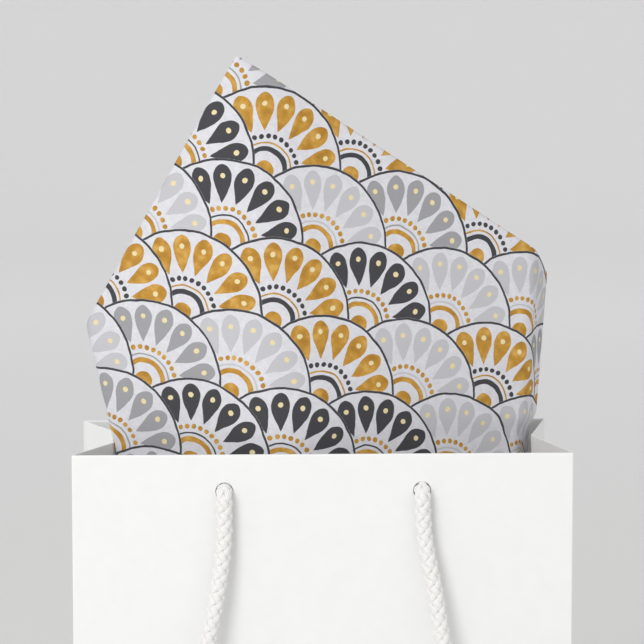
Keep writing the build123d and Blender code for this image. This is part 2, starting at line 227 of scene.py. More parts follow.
def give(tree, node, inputs):
    """Gives a node its inputs, by name or in their order. Each is a value, an output of another node, or
    another node, whose first output is then meant."""
    for name, value in inputs.items() if isinstance(inputs, dict) else enumerate(inputs):
        if isinstance(value, bpy.types.Node):
            value = value.outputs[0]
        if isinstance(value, bpy.types.NodeSocket):
            tree.links.new(value, node.inputs[name])
        else:
            node.inputs[name].default_value = value


def add(tree, kind, inputs=(), **settings):
    """Adds a node with its settings and inputs."""
    node = tree.nodes.new(kind)
    for name, value in settings.items():
        setattr(node, name, value)
    give(tree, node, inputs)
    return node


def set_stops(ramp_node, stops, interpolation="LINEAR"):
    """Gives a colour ramp its stops: position and colour."""
    ramp = ramp_node.color_ramp
    ramp.interpolation = interpolation
    while len(ramp.elements) < len(stops):
        ramp.elements.new(0.5)
    for element, (position, stop_colour) in zip(ramp.elements, stops):
        element.position = position
        element.color = stop_colour
    return ramp_node


def deselect():
    bpy.ops.object.select_all(action="DESELECT")


def mesh_piece(name, vertices, faces):
    """Smooth object at the origin from points in metres."""
    mesh = bpy.data.meshes.new(name)
    mesh.from_pydata(np.asarray(vertices).tolist(), [], faces)
    mesh.validate()
    mesh.polygons.foreach_set("use_smooth", [True] * len(mesh.polygons))
    piece = bpy.data.objects.new(name, mesh)
    bpy.context.scene.collection.objects.link(piece)
    return piece


def apply_modifiers(piece):
    """Applies a piece's modifiers, so that its mesh is final."""
    deselect()
    bpy.context.view_layer.objects.active = piece
    piece.select_set(True)
    for modifier in list(piece.modifiers):
        bpy.ops.object.modifier_apply(modifier=modifier.name)


# ---- Camera ----------------------------------------------------------------------------------


def make_camera():
    """Long lens, from a little above the mouth of the bag."""
    camera = bpy.data.cameras.new("camera")
    camera.lens = CAMERA_LENS
    camera.sensor_width = 36.0
    camera.clip_start = 0.05
    camera.clip_end = 50.0
    holder = bpy.data.objects.new("camera", camera)
    holder.location = CAMERA_PLACE
    holder.rotation_euler = (math.radians(90 - CAMERA_DIP), 0, -math.radians(CAMERA_TURN))
    bpy.context.scene.collection.objects.link(holder)
    bpy.context.scene.camera = holder


make_camera()

# ---- Materials -------------------------------------------------------------------------------


def art_paper():
    """Coated art paper, calendered: smooth and even, a low satin sheen, the faintest cloudiness of its
    fibres."""
    material, tree, shader = new_material("coated_art_paper")
    place = add(tree, "ShaderNodeTexCoord").outputs["Object"]
    # Flocs of fibre are a few millimetres wide
    cloud = add(tree, "ShaderNodeTexNoise", {"Vector": place, "Scale": 1 / (6 * MM), "Detail": 4.0})
    tint = set_stops(
        add(tree, "ShaderNodeValToRGB", {"Fac": cloud}),
        [(0.3, colour("#EDEDEC")), (0.7, colour("#EFEFEE"))],
    )
    # Tooth of the surface, drawn at 0.6 mm because a finer one would not show
    tooth = add(tree, "ShaderNodeTexNoise", {"Vector": place, "Scale": 1 / (0.6 * MM), "Detail": 3.0})
    bump = add(tree, "ShaderNodeBump", {"Height": tooth, "Strength": 0.06, "Distance": 0.1 * MM})
    give(tree, shader, {"Base Color": tint, "Normal": bump, "Roughness": 0.48, "IOR": 1.45})
    return material


def grey_board():
    """Recycled grey board, rolled: matt, with dark and light flecks of old print and fibre."""
    material, tree, shader = new_material("recycled_grey_board")
    place = add(tree, "ShaderNodeTexCoord").outputs["Object"]
    # Flecks of pulp are about a millimetre wide
    fleck = add(tree, "ShaderNodeTexNoise", {"Vector": place, "Scale": 1 / (0.9 * MM), "Detail": 5.0})
    greys = [(0.32, "#7C776E"), (0.46, "#A19C92"), (0.6, "#A8A398"), (0.72, "#C2BEB4")]
    tint = set_stops(
        add(tree, "ShaderNodeValToRGB", {"Fac": fleck}),
        [(position, colour(code)) for position, code in greys],
    )
    bump = add(tree, "ShaderNodeBump", {"Height": fleck, "Strength": 0.25, "Distance": 0.1 * MM})
    give(tree, shader, {"Base Color": tint, "Normal": bump, "Roughness": 0.85})
    return material


def cotton_cord():
    """Bleached cotton strands, twisted and braided: matt and soft, with fine lines of yarn across each
    strand and a trace of warm painted shade between them."""
    material, tree, shader = new_material("braided_cotton_cord")
    along = add(tree, "ShaderNodeUVMap", uv_map="strand")
    # Yarns lie slanting across a strand, one pitch apart
    yarn = add(
        tree, "ShaderNodeTexWave", {"Vector": along, "Scale": 1.0, "Distortion": 0.6, "Detail": 1.0},
        wave_type="BANDS", bands_direction="DIAGONAL",
    ).outputs["Fac"]
    # The darker colour in the low part of each band, between the yarn lines, is painted shade
    tint = set_stops(
        add(tree, "ShaderNodeValToRGB", {"Fac": yarn}),
        [(0.0, colour("#E0DED9")), (0.45, colour("#EDECEA")), (1.0, colour("#F1F0EE"))],
    )
    # Fluff of the cotton, drawn at 0.5 mm because a finer one would not show
    place = add(tree, "ShaderNodeTexCoord").outputs["Object"]
    fluff = add(tree, "ShaderNodeTexNoise", {"Vector": place, "Scale": 1 / (0.5 * MM), "Detail": 4.0})
    height = add(tree, MATH, [yarn, fluff], operation="ADD")
    bump = add(tree, "ShaderNodeBump", {"Height": height, "Strength": 0.35, "Distance": 0.15 * MM})
    give(tree, shader, {"Base Color": tint, "Normal": bump, "Roughness": 0.8})
    give(tree, shader, {"Sheen Weight": 0.25, "Sheen Roughness": 0.5})
    return material


# ---- Braided rope ----------------------------------------------------------------------------


def smooth_route(points):
    """Points along the NURBS curve that has these points as its control points."""
    line = bpy.data.curves.new("route", "CURVE")
    line.dimensions = "3D"
    line.resolution_u = 48
    spline = line.splines.new("NURBS")
    spline.points.add(len(points) - 1)
    for spline_point, point in zip(spline.points, points):
        spline_point.co = (*point, 1.0)
    spline.order_u = 3
    spline.use_endpoint_u = True
    holder = bpy.data.objects.new("route", line)
    bpy.context.scene.collection.objects.link(holder)
    bpy.context.view_layer.update()
    mesh = bpy.data.meshes.new_from_object(holder)
    followed = np.array([v.co[:] for v in mesh.vertices])
    bpy.data.objects.remove(holder)
    bpy.data.curves.remove(line)
    bpy.data.meshes.remove(mesh)
    return followed


def even_steps(points):
    """Points evenly spaced along a line, and their distances along it."""
    run = np.concatenate([[0], np.cumsum(np.linalg.norm(np.diff(points, axis=0), axis=1))])
    count = max(int(round(run[-1] / ROPE_STEP)), 2) + 1
    places = np.linspace(0, run[-1], count)
    return np.stack([np.interp(places, run, points[:, k]) for k in range(3)], axis=1), places


def unit(vectors):
    """The same directions with length 1."""
    return vectors / np.linalg.norm(vectors, axis=1, keepdims=True)


def carried_frames(points):
    """Two normals at each point of a line, carried along it without twist."""
    tangents = unit(np.gradient(points, axis=0))
    normals = [Vector(tangents[0]).orthogonal().normalized()]
    for before, here in zip(tangents, tangents[1:]):
        turn = Vector(before).rotation_difference(Vector(here))
        normals.append((turn @ normals[-1]).normalized())
    normals = np.array([n[:] for n in normals])
    normals = unit(normals - tangents * np.sum(normals * tangents, axis=1, keepdims=True))
    return normals, np.cross(tangents, normals)


def tube(centres, across, outward, half_size, sides, run):
    """Closed tube of oval section round a line: vertices, faces and each vertex's place along and round."""
    angles = np.linspace(0, 2 * math.pi, sides, endpoint=False)
    ring = np.cos(angles)[None, :, None] * half_size[0] * across[:, None, :]
    ring = ring + np.sin(angles)[None, :, None] * half_size[1] * outward[:, None, :]
    vertices = (centres[:, None, :] + ring).reshape(-1, 3)
    faces = []
    marks = []
    for i in range(len(centres) - 1):
        for j in range(sides):
            k = (j + 1) % sides
            faces.append((i * sides + j, i * sides + k, (i + 1) * sides + k, (i + 1) * sides + j))
            marks += [(run[i], j), (run[i], j + 1), (run[i + 1], j + 1), (run[i + 1], j)]
    last = (len(centres) - 1) * sides
    faces.append(tuple(reversed(range(sides))))
    marks += [(run[0], j) for j in reversed(range(sides))]
    faces.append(tuple(last + j for j in range(sides)))
    marks += [(run[-1], j) for j in range(sides)]
    return vertices, faces, marks


def rope_tubes(path, diameter):
    """Core of a rope, and eight strands braided round it, half of them turning each way."""
    centres, run = even_steps(path)
    normals, binormals = carried_frames(centres)
    phase = 2 * math.pi * run / BRAID_PITCH
    middle = diameter / 2 - STRAND_THICKNESS / 2 - BRAID_WAVE  # of a strand, from the rope's own middle
    # The core's last ring keeps clear of the one before it
    core = np.append(np.arange(0, len(centres) - 4, CORE_STEPS), len(centres) - 1)
    tubes = [tube(centres[core], normals[core], binormals[core], (middle, middle), CORE_SIDES, run[core])]
    for hand in (1, -1):
        for strand in range(STRANDS_EACH_WAY):
            angle = hand * phase + strand * 2 * math.pi / STRANDS_EACH_WAY
            outward = np.cos(angle)[:, None] * normals + np.sin(angle)[:, None] * binormals
            distance = middle + hand * BRAID_WAVE * np.cos(STRANDS_EACH_WAY * phase)
            line = centres + distance[:, None] * outward
            tangents = unit(np.gradient(line, axis=0))
            across = unit(np.cross(outward, tangents))
            raised = np.cross(tangents, across)
            half_size = (STRAND_WIDTH / 2, STRAND_THICKNESS / 2)
            tubes.append(tube(line, across, raised, half_size, STRAND_SIDES, run))
    return tubes


def braided_rope(name, paths, material, diameter=ROPE_DIAMETER):
    """Rope along each path, all as one mesh."""
    vertices, faces, marks = [], [], []
    count = 0
    for path in paths:
        for tube_vertices, tube_faces, tube_marks in rope_tubes(path, diameter):
            vertices.append(tube_vertices)
            faces += [tuple(index + count for index in face) for face in tube_faces]
            marks += tube_marks
            count += len(tube_vertices)
    piece = mesh_piece(name, np.concatenate(vertices), faces)
    # One unit along is two yarns, one unit round is a quarter of a strand
    values = np.array(marks, float) / (2 * YARN_PITCH, STRAND_SIDES / 4)
    piece.data.uv_layers.new(name="strand").data.foreach_set("uv", values.ravel())
    piece.data.materials.append(material)
    piece.data.update()
    return piece


def half_turned(points):
    """The same points at the back of the bag."""
    return points * np.array([-1.0, -1.0, 1.0])


def make_handle(end, material):
    """One rope out through its holes and round the hanging loop."""
    points = [(x * MM, -HALF_DEPTH - out * MM, HOLE_HEIGHT + up * MM) for x, out, up in HANDLE_ROUTE]
    path = smooth_route(points)
    if end == "back":
        path = half_turned(path)
    rope = braided_rope(f"{end}_rope", [path], material)
    centres, run = even_steps(path)
    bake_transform(rope)
    spread_turn(rope, centres)
    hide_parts(f"{end}_rope_loop", f"{end}_rope_ends")


def spread_turn(rope, centres):
    """Finds, for each point of the rope, the nearest of the centres along its middle line."""
    points = np.array([v.co[:] for v in rope.data.vertices])
    nearest = np.empty(len(points), int)
    batch = 4000  # points compared at once, to save memory
    for i in range(0, len(points), batch):
        gaps = np.linalg.norm(points[i : i + batch, None, :] - centres[None, :, :], axis=2)
        nearest[i : i + batch] = gaps.argmin(axis=1)


# ---- Stopper knots ---------------------------------------------------------------------------


def overhand_knot(side):
    """Line of an overhand knot behind the hem: in from the hole, once round itself, and down to its
    tail."""
    turns = np.linspace(-KNOT_SPAN, KNOT_SPAN, KNOT_POINTS)
    curve = np.stack([turns**3 - 3 * turns, turns**5 - 10 * turns, turns**4 - 4 * turns**2], axis=1)
    line = np.concatenate([KNOT_ENTRY, curve * KNOT_SCALE + KNOT_MIDDLE, KNOT_TAIL])
    hem_face = HALF_DEPTH - PAPER - HEM_INSET
    return smooth_route((line + (HOLE_X, -hem_face, HOLE_HEIGHT)) * (side, 1, 1))


def make_knots(end, material):
    """The two knots of one rope."""
    paths = [overhand_knot(side) for side in (-1, 1)]
    if end == "back":
        paths = [half_turned(path) for path in paths]
    knots = braided_rope(f"{end}_stopper_knots", paths, material, diameter=KNOT_SQUEEZE * ROPE_DIAMETER)
    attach(knots, "root")
    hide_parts(f"{end}_rope_knots")


cord_finish = cotton_cord()
for end in ("front", "back"):
    make_knots(end, cord_finish)
    make_handle(end, cord_finish)

# ---- Paper wrap ------------------------------------------------------------------------------


def gusset_corners(side, height, fold, layer):
    """Plan of one gusset at a height, from its front edge to its back edge. Layer is 0 on the outer
    paper and 1 on the hem."""
    half_width = HALF_WIDTH - PAPER / 2
    half_depth = HALF_DEPTH - PAPER / 2
    rise = height / BAG_HEIGHT
    inset = GUSSET_HEM_INSET * layer
    edge = Vector((half_width - inset, half_depth - HEM_INSET * layer))
    slant = Vector((half_width - fold * rise - inset, half_depth * (1 - rise)))
    if height > GUSSET_FOOT:
        drawn = fold * (height - GUSSET_FOOT) / (BAG_HEIGHT - GUSSET_FOOT)
        crease = Vector((half_width - drawn - inset, 0))
    else:
        crease = Vector((half_width - inset, half_depth * (1 - height / GUSSET_FOOT)))
    corners = [(edge, 1), (slant, 0), (crease, 1)]
    front = [((side * p.x, -p.y), sharp) for p, sharp in corners]
    back = [((side * p.x, p.y), sharp) for p, sharp in reversed(corners)]
    return front + back


def plan(height, layer):
    """Closed plan of the wrap at a height: corners, and whether each is a crease or a soft bend.
    It starts at the front left edge and goes round by the right."""
    right = gusset_corners(1, height, RIGHT_FOLD, layer)
    left = gusset_corners(-1, height, LEFT_FOLD, layer)
    corners = [left[0]] + right + left[::-1]
    return np.array([c[0] for c in corners]), np.array([c[1] for c in corners])


def column_places():
    """Where the wrap's columns stand: which side of the plan, and how far along it. They crowd
    towards the creases."""
    gusset = 0.5 - 0.5 * np.cos(np.linspace(0, math.pi, GUSSET_COLUMNS + 1))[:-1]
    between = np.linspace(2 * EDGE_COLUMNS[-1], 1 - 2 * EDGE_COLUMNS[-1], PANEL_COLUMNS)
    panel = np.concatenate([[0], EDGE_COLUMNS, between, 1 - EDGE_COLUMNS[::-1]])
    # The middle crease of a gusset counts as a side with no length
    steps = {FRONT_SIDE: panel, BACK_SIDE: panel, RIGHT_CREASE: [0.0], LEFT_CREASE: [0.0]}
    return [(i, f) for i in range(PLAN_SIDES) for f in steps.get(i, gusset)]


def round_plan(height, layer, columns):
    """Points of the plan at the columns, with creases and bends rounded."""
    corners, sharp = plan(height, layer)
    lengths = np.linalg.norm(np.diff(corners, axis=0), axis=1)
    run = np.concatenate([[0], np.cumsum(lengths)])
    total = run[-1]
    places = np.array([run[i] + f * lengths[i] for i, f in columns])
    creases = run[sharp == 1]
    gaps = np.abs((places[:, None] - creases[None, :] + total / 2) % total - total / 2).min(axis=1)
    softness = np.clip((gaps - CREASE_CLEAR) / CREASE_FADE, 0, 1)
    window = CREASE_ROUNDING + (SOFT_BEND - CREASE_ROUNDING) * softness
    points = np.zeros((len(places), 2))
    shares = np.linspace(-1, 1, ROUNDING_SAMPLES)
    for share in shares:
        at = (places + share * window) % total
        points += np.stack([np.interp(at, run, corners[:, k]) for k in range(2)], axis=1)
    return points / len(shares)


def wrap_profile():
    """Height, layer and turn of each row of the wrap: up the outside, over the top edge, down the hem.
    The turn is how far over the top edge a row lies, in radians, or None."""
    top = BAG_HEIGHT - PAPER / 2
    near_top = top - HEM_INSET / 2 - HEM_TURN_CLEAR
    foot = np.linspace(0, GUSSET_FOOT, FOOT_ROWS + 1)[1:]
    wall = np.linspace(GUSSET_FOOT, HEM_LOW, WALL_ROWS + 1)[1:]
    brim = np.linspace(HEM_LOW, near_top, HEM_ROWS)
    rows = [(height, 0.0, None) for height in [CREASE_ROUNDING / 2, *foot, *wall, *brim[1:]]]
    for step in range(HEM_TURN_STEPS + 1):
        turn = math.pi * step / HEM_TURN_STEPS
        rows.append((top, (1 - math.cos(turn)) / 2, turn))
    return rows + [(height, 1.0, None) for height in brim[::-1]]


def belly(points, height, layer):
    """Wide panels belly out gently between the base and the boards, most of all in the middle. The
    front one keeps a faint line across it, where the flat bag folds."""
    if layer > 0 or height > HEM_LOW:
        return points
    rise = math.sin(math.pi * height / HEM_LOW) ** BOW_POWER
    across = np.clip(1 - (points[:, 0] / (HALF_WIDTH - BOW_MARGIN)) ** 2, 0, 1)
    wide = np.abs(points[:, 1]) > HALF_DEPTH - PAPER - WALL_MARGIN
    front = wide * (points[:, 1] < 0)
    swell = np.where(wide, PANEL_BOW * rise * across, 0)
    dent = np.exp(-(((height - GUSSET_FOOT) / FOLD_LINE_WIDTH) ** 2)) * FOLD_LINE_DEPTH * front
    moved = points.copy()
    moved[:, 1] += np.sign(points[:, 1]) * (swell - dent)
    return moved


def base_flap_rows(edge, side, level, reach, slanted):
    """Rows of one base flap, from its wall inwards. Edge is the bottom row of the wall, and side the
    way to it, x and y. A slanted flap narrows inwards."""
    rows = []
    for distance in np.concatenate([[FLAP_BEND], np.linspace(FLAP_START, reach, FLAP_ROWS)]):
        row = edge.copy()
        if side[0]:
            row[:, 0] = side[0] * (HALF_WIDTH - PAPER / 2 - distance)
            row[:, 1] *= (HALF_DEPTH - PAPER) / HALF_DEPTH
        else:
            row[:, 1] = side[1] * (HALF_DEPTH - PAPER / 2 - distance)
            row[:, 0] *= (HALF_WIDTH - PAPER - (distance if slanted else 0)) / HALF_WIDTH
        row[:, 2] = level
        rows.append(row)
    return rows


def wrap_walls(columns):
    """Rows of the panels, gussets and hem, and their faces."""
    outside, inside = (round_plan(BAG_HEIGHT, layer, columns) for layer in (0, 1))
    turn_radius = np.linalg.norm(outside - inside, axis=1) / 2
    rows = []
    for height, layer, turn in wrap_profile():
        points = belly(round_plan(height, layer, columns), height, layer)
        drop = 0 if turn is None else turn_radius * (1 - math.sin(turn))
        rows.append(np.column_stack([points, np.full(len(points), height) - drop]))
    count = len(columns)
    faces = []
    for i in range(len(rows) - 1):
        for j in range(count):
            k = (j + 1) % count
            faces.append((i * count + j, i * count + k, (i + 1) * count + k, (i + 1) * count + j))
    return rows, faces


def make_wrap(material):
    """One creased sheet: panels, gussets, turned-in hem and base flaps."""
    columns = column_places()
    rows, faces = wrap_walls(columns)
    bottom = rows[0]
    sides = np.array([side for side, _ in columns])
    front = np.flatnonzero(sides == FRONT_SIDE)
    right = np.flatnonzero((sides > FRONT_SIDE) & (sides < BACK_SIDE))
    back = np.flatnonzero(sides == BACK_SIDE)
    left = np.flatnonzero(sides > BACK_SIDE)
    # Columns, way to the wall, height, reach and slant. The side flaps lie on the front one, and the
    # front one on the back one.
    flaps = [
        (np.append(front, right[0]), (0, -1), 1.5 * PAPER, END_FLAP, True),
        (np.append(right, back[0]), (1, 0), 2.5 * PAPER, SIDE_FLAP, False),
        (np.append(back, left[0]), (0, 1), 0.5 * PAPER, END_FLAP, True),
        (np.append(left, front[0]), (-1, 0), 2.5 * PAPER, SIDE_FLAP, False),
    ]
    total = len(rows) * len(columns)
    for above, side, level, reach, slanted in flaps:
        for row in base_flap_rows(bottom[above], side, level, reach, slanted):
            rows.append(row)
            below = range(total, total + len(row))
            for j in range(len(row) - 1):
                faces.append((below[j], below[j + 1], int(above[j + 1]), int(above[j])))
            above = below
            total += len(row)
    wrap = mesh_piece("paper_wrap", np.concatenate(rows), faces)
    thickness = wrap.modifiers.new("thickness", "SOLIDIFY")
    thickness.thickness = WRAP_THICKNESS
    thickness.offset = 0
    punches = [cut_hole(wrap, x) for x in (-HOLE_X, HOLE_X)]
    apply_modifiers(wrap)
    for punch in punches:
        bpy.data.objects.remove(punch)
    wrap.data.materials.append(material)
    bpy.ops.object.shade_smooth_by_angle(angle=math.radians(SHARP_EDGE))
    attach(wrap, "root")
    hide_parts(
        "front_panel", "back_panel", "front_hem", "back_hem", "left_hem", "right_hem",
        "front_base_flap", "back_base_flap", "left_base_flap", "right_base_flap",
        "left_gusset_front_half", "left_gusset_back_half", "right_gusset_front_half",
        "right_gusset_back_half", "left_gusset_foot", "right_gusset_foot",
    )


def cut_hole(wrap, x):
    """Hole through the front and back panels and their hems. Returns the punch, to be removed once the
    cut is applied."""
    deselect()
    bpy.ops.mesh.primitive_cylinder_add(
        vertices=48, radius=HOLE_DIAMETER / 2, depth=3 * HALF_DEPTH, location=(x, 0, HOLE_HEIGHT),
        rotation=(math.pi / 2, 0, 0),
    )
    punch = bpy.context.object
    punch.name = "punch"
    punch.hide_render = True
    bore = wrap.modifiers.new("hole", "BOOLEAN")
    bore.operation = "DIFFERENCE"
    bore.object = punch
    bore.solver = "EXACT"
    return punch


def set_finish(node, material):
    """Gives a node of the frame its material."""
    node.data.materials.clear()
    node.data.materials.append(material)


paper_finish = art_paper()
make_wrap(paper_finish)
set_finish(frame["nodes"]["seam_flap"], paper_finish)
board_finish = grey_board()
for name in ("front_top_board", "back_top_board", "base_board"):
    set_finish(frame["nodes"][name], board_finish)

# ---- Tissue sheet ----------------------------------------------------------------------------


def cone_directions(bends, start, yaw):
    """Directions of the lines from the apex up a folded sheet, by their lean in the flat sheet.
    Bends are (first lean, last lean, turn). The sheet is upright at the lean start."""
    leans = np.arange(-LEAN_LIMIT, LEAN_LIMIT + LEAN_STEP / 2, LEAN_STEP)
    middle = int(round((start - leans[0]) / LEAN_STEP))
    along = Vector((math.cos(math.radians(yaw)), math.sin(math.radians(yaw)), 0))
    lean = math.radians(leans[middle])
    up = Vector((0, 0, 1))
    directions = np.zeros((len(leans), 3))
    directions[middle] = along * math.sin(lean) + up * math.cos(lean)
    for way in (1, -1):
        ray = Vector(directions[middle])
        side = along * math.cos(lean) - up * math.sin(lean)
        i = middle
        while 0 <= i + way < len(leans):
            low, high = sorted((leans[i], leans[i + way]))
            turn = sum(
                amount * max(0.0, min(high, last) - max(low, first)) / (last - first)
                for first, last, amount in bends
            )
            side = Matrix.Rotation(math.radians(turn) * way, 3, ray) @ side
            swing = math.radians(LEAN_STEP) * way
            swung = ray * math.cos(swing) + side * math.sin(swing)
            side = side * math.cos(swing) - ray * math.sin(swing)
            ray = swung.normalized()
            i += way
            directions[i] = ray
    return leans, directions


def sheet_mapping():
    """Function from places in the flat sheet, in millimetres from its apex, to places in the bag. Also
    the place of the sheet's top corner when flat."""
    left_slope = math.tan(math.radians(LEFT_FOLD_LEAN))
    right_slope = math.tan(math.radians(RIGHT_FOLD_LEAN))
    reach = FOLDED_WIDTH / (left_slope + right_slope)  # from the apex up to the mouth of the bag
    peak = Vector((PEAK_OFFSET - reach * left_slope, reach + PEAK_HEIGHT))
    ridge = math.degrees(math.atan2(peak.x, peak.y))
    per_mm = math.degrees(1 / reach)
    left_start = -LEFT_FOLD_LEAN + LEFT_FOLD_RADIUS * per_mm
    left_end = left_start - LEFT_FOLD_ANGLE * LEFT_FOLD_RADIUS / reach
    half_ridge = RIDGE_WIDTH * per_mm / 2
    bends = [
        (left_end, left_start, LEFT_FOLD_ANGLE),
        (ridge - half_ridge, ridge + half_ridge, RIDGE_ANGLE),
    ]
    right_end = RIGHT_FOLD_LEAN - RIGHT_FOLD_START * per_mm
    for width, turn in RIGHT_FOLD_BENDS:
        bends.append((right_end, right_end + width * per_mm, turn))
        right_end += width * per_mm
    # The ridge goes on through both back flaps, where it bends the other way
    ridge_lies = reach * (math.tan(math.radians(ridge)) + left_slope)
    left_flap = left_end - (ridge_lies - LEFT_FOLD_RADIUS) * per_mm + half_ridge
    right_flap = right_end + (FOLDED_WIDTH - ridge_lies - RIGHT_FLAP_START) * per_mm - half_ridge
    left_spread, right_spread = (
        (RIDGE_WIDTH - gap * math.radians(RIDGE_ANGLE)) * per_mm
        for gap in (2 * LEFT_FOLD_RADIUS, RIGHT_FLAP_GAP)
    )
    bends += [
        (left_flap - left_spread, left_flap, -RIDGE_ANGLE),
        (right_flap, right_flap + right_spread, -RIDGE_ANGLE),
    ]
    leans, directions = cone_directions(bends, ridge, RIDGE_YAW)
    up_ridge = Vector([float(np.interp(ridge, leans, directions[:, k])) for k in range(3)])
    apex = RIDGE_PLACE - up_ridge * (reach / math.cos(math.radians(ridge)))

    def place(x, z):
        lean = np.degrees(np.arctan2(x, z))
        ray = unit(np.stack([np.interp(lean, leans, directions[:, k]) for k in range(3)], axis=1))
        points = np.array(apex) + np.hypot(x, z)[:, None] * ray
        right = np.clip((points[:, 0] - PINCH_START) / PINCH_WIDTH, 0, 1) ** 2
        low = np.clip((BAG_HEIGHT / MM + PINCH_HEIGHT - points[:, 2]) / PINCH_HEIGHT, 0, 1)
        points[:, 0] -= MOUTH_PINCH * right * low * low * (3 - 2 * low)
        return points

    return place, peak


def make_sheet(printed, plain):
    """Grid cut to the sheet's size, then folded. Its printed side is outwards."""
    place, peak = sheet_mapping()
    deselect()
    bpy.ops.mesh.primitive_grid_add(
        x_subdivisions=SHEET_CELLS[0], y_subdivisions=SHEET_CELLS[1], size=1, location=(0, 0, 0)
    )
    sheet = bpy.context.object
    sheet.name = "tissue"
    sheet.data.name = "tissue"
    flat = np.array([v.co[:] for v in sheet.data.vertices])
    along = (flat[:, 0] + 0.5) * SHEET_LENGTH
    down = (0.5 - flat[:, 1]) * SHEET_WIDTH
    tilt = math.radians(SHEET_TILT)
    x = peak.x + along * math.cos(tilt) - down * math.sin(tilt)
    z = peak.y - along * math.sin(tilt) - down * math.cos(tilt)
    sheet.data.vertices.foreach_set("co", (place(x, z) * MM).ravel())
    sheet.data.uv_layers[0].name = "print"
    sheet.data.update()
    bpy.ops.object.shade_smooth()
    thickness = sheet.modifiers.new("thickness", "SOLIDIFY")
    thickness.thickness = SHEET_THICKNESS * MM
    thickness.offset = -1
    thickness.material_offset = 1
    thickness.material_offset_rim = 1
    sheet.data.materials.append(printed)
    sheet.data.materials.append(plain)
    apply_modifiers(sheet)
    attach(sheet, "tissue")
    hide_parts("tissue_sheet")


def tissue_paper(name):
    """Calendered tissue, pale cool grey: soft, matt, cloudy with long fibres. Returns the material, its
    tree, its shader, the place on the sheet in millimetres, and the colour of its bare ground."""
    material, tree, shader = new_material(name)
    place = add(tree, "ShaderNodeUVMap", uv_map="print")
    # Millimetres along and across the sheet, so that the scales below are per millimetre
    sized = add(tree, "ShaderNodeMapping", {"Vector": place, "Scale": (SHEET_LENGTH, SHEET_WIDTH, 1.0)})
    drawn = add(tree, "ShaderNodeMapping", {"Vector": sized, "Scale": (0.35, 1.0, 1.0)})
    # Clouds of fibre are 3 mm wide, and fibres are drawn 0.6 mm apart because finer ones would not show
    cloud = add(tree, "ShaderNodeTexNoise", {"Vector": sized, "Scale": 1 / 3.0, "Detail": 3.0})
    fibre = add(tree, "ShaderNodeTexNoise", {"Vector": drawn, "Scale": 1 / 0.6, "Detail": 3.0})
    both = add(tree, MATH, [cloud, fibre], operation="ADD")
    half = add(tree, MATH, [both, 0.5], operation="MULTIPLY")
    ground = set_stops(
        add(tree, "ShaderNodeValToRGB", {"Fac": half}),
        [(0.36, colour("#D0D0D5")), (0.64, colour("#DEDEE3"))],
    )
    bump = add(tree, "ShaderNodeBump", {"Height": half, "Strength": 0.15, "Distance": 0.2 * MM})
    give(tree, shader, {"Base Color": ground, "Normal": bump, "Roughness": 0.75})
    return material, tree, shader, sized, ground


def fan_row(tree, x, y, rows_on):
    """Nearest fan of the row that lies so many rows on from here: the offsets from its centre with a
    number of its own, and whether it reaches here."""
    pitch = 2 * FAN_RADIUS
    rows_up = add(tree, MATH, [y, FAN_RADIUS / 2], operation="DIVIDE")
    whole_rows = add(tree, MATH, [rows_up], operation="FLOOR")
    row = add(tree, MATH, [whole_rows, rows_on], operation="ADD")
    centre_y = add(tree, MATH, [row, FAN_RADIUS / 2], operation="MULTIPLY")
    # Every other row is shifted by half a fan
    odd = add(tree, MATH, [row, 2.0], operation="FLOORED_MODULO")
    shift = add(tree, MATH, [odd, 0.5], operation="MULTIPLY")
    fans_across = add(tree, MATH, [x, pitch], operation="DIVIDE")
    unshifted = add(tree, MATH, [fans_across, shift], operation="SUBTRACT")
    column = add(tree, MATH, [unshifted], operation="ROUND")
    shifted = add(tree, MATH, [column, shift], operation="ADD")
    centre_x = add(tree, MATH, [shifted, pitch], operation="MULTIPLY")
    across = add(tree, MATH, [x, centre_x], operation="SUBTRACT")
    up = add(tree, MATH, [y, centre_y], operation="SUBTRACT")
    offset = add(tree, "ShaderNodeCombineXYZ", {"X": across, "Y": up})
    length = add(tree, "ShaderNodeVectorMath", [offset], operation="LENGTH").outputs["Value"]
    distance = add(tree, MATH, [length, FAN_RADIUS], operation="DIVIDE")
    reaches = add(tree, MATH, [distance, 1.0], operation="LESS_THAN")
    row_number = add(tree, MATH, [row, 7.0], operation="MULTIPLY")
    number = add(tree, MATH, [row_number, column], operation="ADD")
    return add(tree, "ShaderNodeCombineXYZ", {"X": across, "Y": up, "Z": number}), reaches


def round_dots(tree, angle, distance, ring, count, radius):
    """Mask of dots spaced evenly round a ring. Ring and radius are shares of the fan's radius."""
    cell = 2 * math.pi / count
    cells = add(tree, MATH, [angle, cell], operation="DIVIDE")
    whole_cells = add(tree, MATH, [cells], operation="ROUND")
    nearest = add(tree, MATH, [whole_cells, cell], operation="MULTIPLY")
    off_nearest = add(tree, MATH, [angle, nearest], operation="SUBTRACT")
    round_ring = add(tree, MATH, [off_nearest, ring], operation="MULTIPLY")
    outwards = add(tree, MATH, [distance, ring], operation="SUBTRACT")
    offset = add(tree, "ShaderNodeCombineXYZ", {"X": round_ring, "Y": outwards})
    length = add(tree, "ShaderNodeVectorMath", [offset], operation="LENGTH").outputs["Value"]
    return add(tree, MATH, [length, radius], operation="LESS_THAN")


